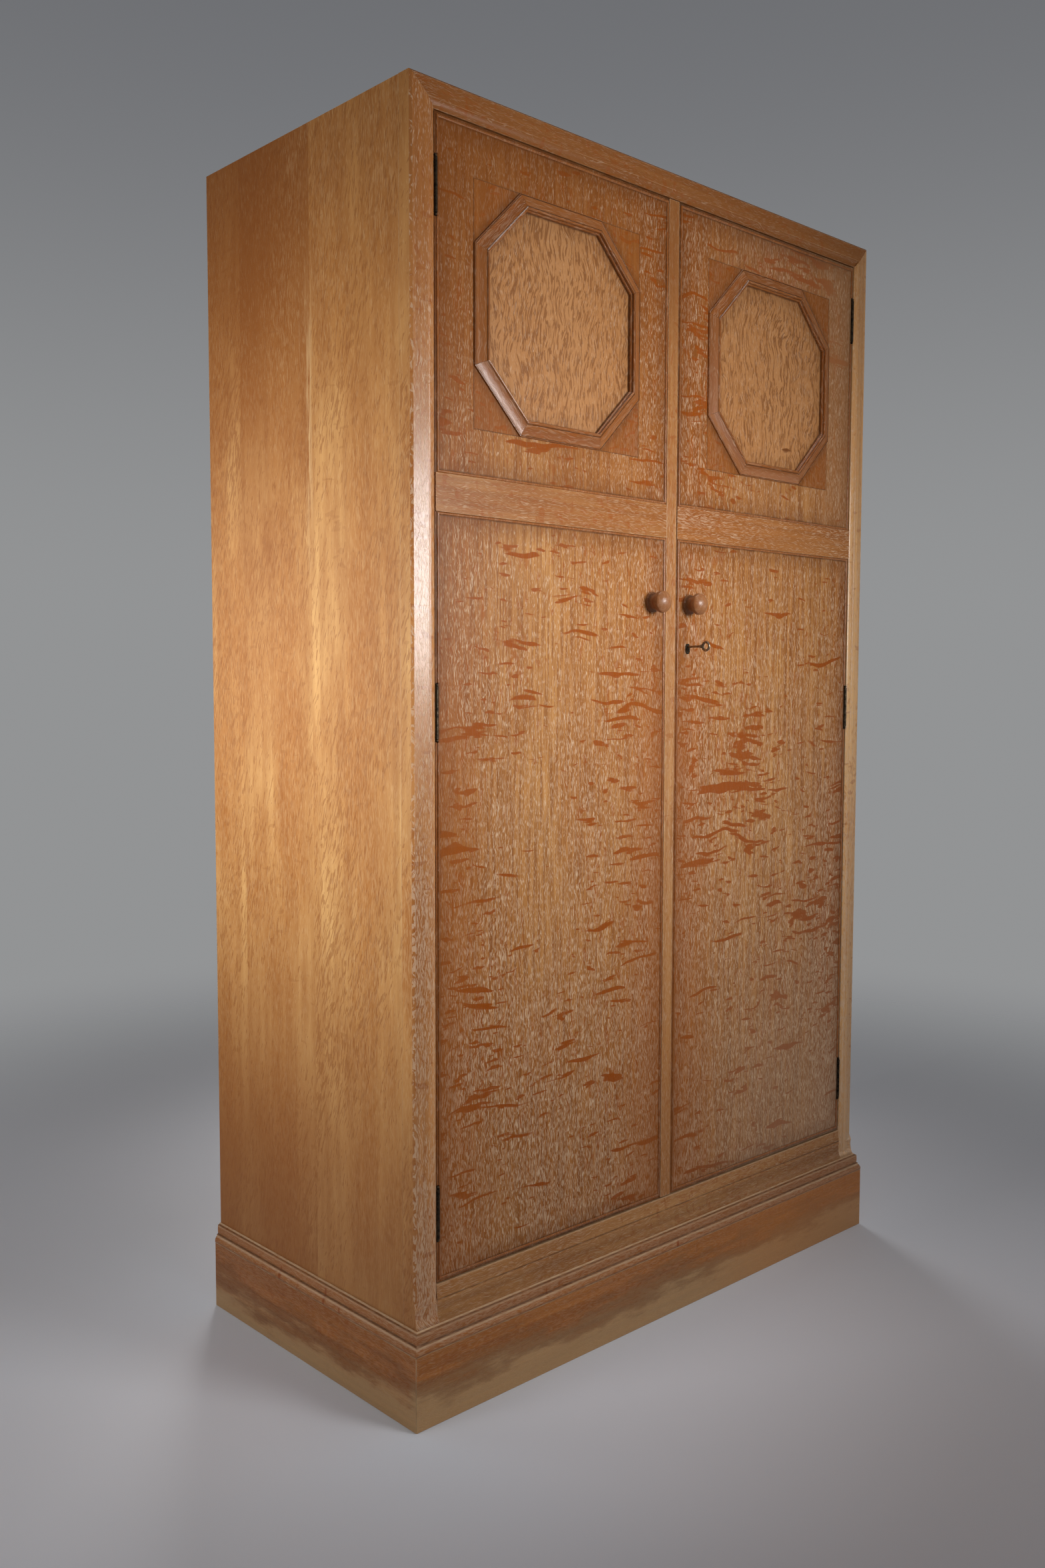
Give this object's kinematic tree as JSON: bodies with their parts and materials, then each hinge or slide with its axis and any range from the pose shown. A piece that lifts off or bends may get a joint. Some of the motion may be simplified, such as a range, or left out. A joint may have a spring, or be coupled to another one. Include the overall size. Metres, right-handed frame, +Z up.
{
  "type": "two-door wardrobe",
  "caption": "Limed oak wardrobe on a moulded plinth, with hinged doors carrying sunk octagonal panels, a lock and key, sliding bolts, a hat shelf and a hanging rail",
  "frame": {"origin": "on the floor, below the middle of the overall box (the key's bow is the foremost point)", "axes": "+Z up, -Y the front with the doors, +X to the right of someone facing the front"},
  "size_m": [1.086, 0.563, 1.83],
  "materials": {
    "limed_oak": "limed and waxed quarter-sawn oak, satin",
    "figured_oak": "limed oak veneer with fine flecked figure, satin",
    "turned_oak": "dark polished turned oak",
    "plain_board": "unfinished thin board",
    "dark_bronze": "nearly black patinated",
    "bronzed_steel": "dark bronzed",
    "aged_brass": "aged, unpolished",
    "worn_steel": "dull and worn"
  },
  "bodies": {
    "root": {"top_rail": "limed_oak", "bottom_rail": "limed_oak", "top_panel": "limed_oak", "back_muntin": "plain_board", "back_panel_left": "plain_board", "back_panel_right": "plain_board", "plinth_front": "limed_oak", "plinth_left": "limed_oak", "plinth_right": "limed_oak", "plinth_back": "limed_oak", "plinth_blocks": "limed_oak", "plinth_moulding_front": "limed_oak", "plinth_moulding_left": "limed_oak", "plinth_moulding_right": "limed_oak", "hat_shelf": "limed_oak", "shelf_bearers": "limed_oak", "hanging_rail": "turned_oak", "left_hinge_frame_leaves": "dark_bronze", "right_hinge_frame_leaves": "dark_bronze", "left_hinge_pins": "dark_bronze", "right_hinge_pins": "dark_bronze", "left_stile": "limed_oak", "right_stile": "limed_oak", "rail_sockets": "aged_brass", "left_side": "limed_oak", "right_side": "limed_oak", "frame_screws": "bronzed_steel", "bolt_keepers": "aged_brass", "top_stop": "limed_oak", "bottom_panel": "limed_oak"},
    "left_door": {"left_door_slab": "limed_oak", "left_mid_rail": "limed_oak", "meeting_strip": "limed_oak", "left_upper_beads": "limed_oak", "left_lower_beads": "limed_oak", "left_octagon_moulding": "limed_oak", "left_octagon_panel": "figured_oak", "left_spandrels": "figured_oak", "left_knob": "turned_oak", "left_hinge_door_leaves": "dark_bronze", "left_door_screws": "bronzed_steel", "bolt_guides": "aged_brass", "strike_plate": "aged_brass"},
    "right_door": {"right_door_slab": "limed_oak", "right_mid_rail": "limed_oak", "right_upper_beads": "limed_oak", "right_lower_beads": "limed_oak", "right_octagon_moulding": "limed_oak", "right_octagon_panel": "figured_oak", "right_spandrels": "figured_oak", "right_knob": "turned_oak", "right_hinge_door_leaves": "dark_bronze", "right_door_screws": "bronzed_steel", "escutcheon": "dark_bronze", "lock_case": "aged_brass"},
    "top_bolt": {"top_bolt": "aged_brass"},
    "bottom_bolt": {"bottom_bolt": "aged_brass"},
    "key": {"key": "worn_steel"},
    "lock_bolt": {"lock_bolt": "aged_brass"}
  },
  "joints": [
    {"name": "left_door_hinge", "type": "hinge", "parent": "root", "child": "left_door", "pos_m": [-0.4888, -0.235, 0.9925], "axis": [0, 0, -1], "range_deg": [0, 130]},
    {"name": "right_door_hinge", "type": "hinge", "parent": "root", "child": "right_door", "pos_m": [0.4888, -0.235, 0.9925], "axis": [0, 0, 1], "range_deg": [0, 130]},
    {"name": "key_turn", "type": "hinge", "parent": "right_door", "child": "key", "pos_m": [0.0373, -0.2345, 1.094], "axis": [0, -1, 0], "range_deg": [0, 180]},
    {"name": "lock_bolt_slide", "type": "slide", "parent": "right_door", "child": "lock_bolt", "axis": [-1, 0, 0], "range_m": [0, 0.009]},
    {"name": "top_bolt_slide", "type": "slide", "parent": "left_door", "child": "top_bolt", "axis": [0, 0, 1], "range_m": [0, 0.016]},
    {"name": "bottom_bolt_slide", "type": "slide", "parent": "left_door", "child": "bottom_bolt", "axis": [0, 0, -1], "range_m": [0, 0.016]}
  ],
  "couplings": [
    {"joint": "key_turn", "follows": "lock_bolt_slide", "rad_per_m": 349}
  ]
}
